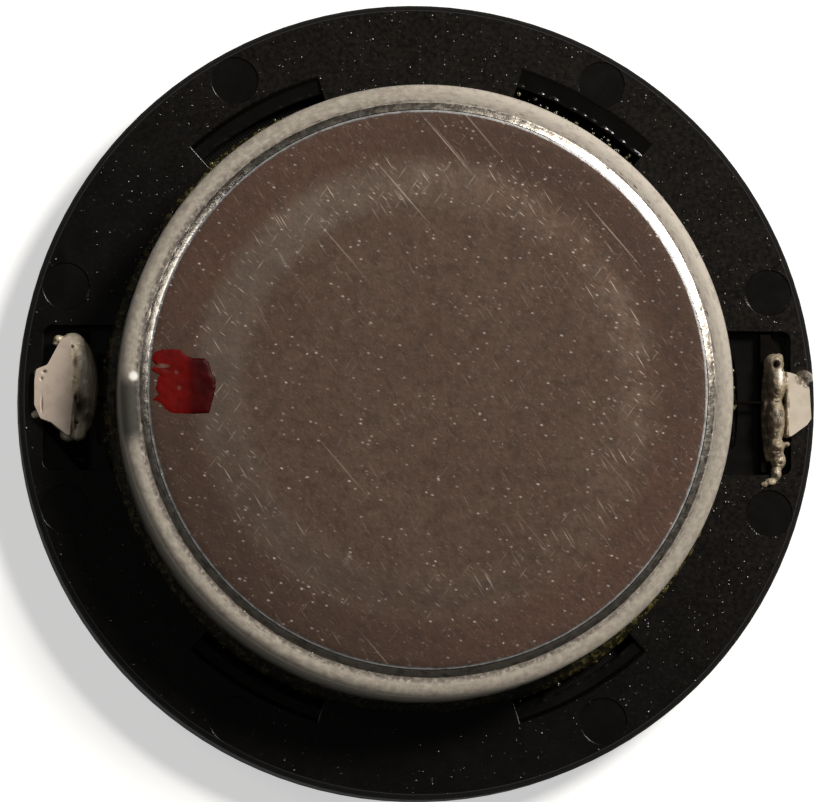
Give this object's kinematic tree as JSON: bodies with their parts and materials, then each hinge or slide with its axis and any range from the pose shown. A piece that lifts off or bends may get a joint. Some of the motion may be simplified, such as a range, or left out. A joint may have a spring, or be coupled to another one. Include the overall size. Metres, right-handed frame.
{
  "type": "mini speaker",
  "caption": "Small round loudspeaker with a moulded flange, a steel magnet cup at the back, soldered side terminals and a film diaphragm on a moving coil.",
  "frame": {"origin": "centre of the front rim's face, on the plane that the speaker stands on", "axes": "+Z from the front out through the back of the magnet cup, X through the two terminals with the paint mark on the -X side"},
  "size_m": [0.028, 0.028, 0.0061],
  "materials": {
    "frame_plastic": "moulded black plastic with a fine spark-eroded grain",
    "cup_steel": "plated drawn steel, dull and scratched",
    "magnet_plating": "nickel plated magnet",
    "plate_steel": "zinc plated steel",
    "coil_copper": "enamelled copper wire",
    "former_paper": "thin brown former",
    "film": "clear formed film",
    "gasket_paper": "black fibre ring",
    "cloth": "thin damping cloth",
    "terminal_tin": "tinned brass",
    "solder": "hand laid solder with flux residue",
    "glue": "clear yellowish adhesive",
    "red_paint": "red marking paint"
  },
  "bodies": {
    "chassis": {"frame": "frame_plastic", "yoke_cup": "cup_steel", "magnet": "magnet_plating", "pole_plate": "plate_steel", "front_gasket": "gasket_paper", "cup_glue": "glue", "polarity_mark": "red_paint", "vent_cloth_1": "cloth", "vent_cloth_2": "cloth", "vent_cloth_3": "cloth", "vent_cloth_4": "cloth", "terminal_left": "terminal_tin", "terminal_right": "terminal_tin", "lead_left": "coil_copper", "lead_right": "coil_copper", "lead_glue_left": "glue", "lead_glue_right": "glue", "solder_left": "solder", "solder_right": "solder"},
    "moving_coil": {"voice_coil": "coil_copper", "coil_former": "former_paper", "diaphragm": "film"}
  },
  "joints": [
    {"name": "coil_travel", "type": "slide", "parent": "chassis", "child": "moving_coil", "axis": [0, 0, 1], "range_m": [-0.0003, 0.0003], "stiffness_N_per_m": 3000, "deforming": ["diaphragm", "lead_left", "lead_right"]}
  ]
}
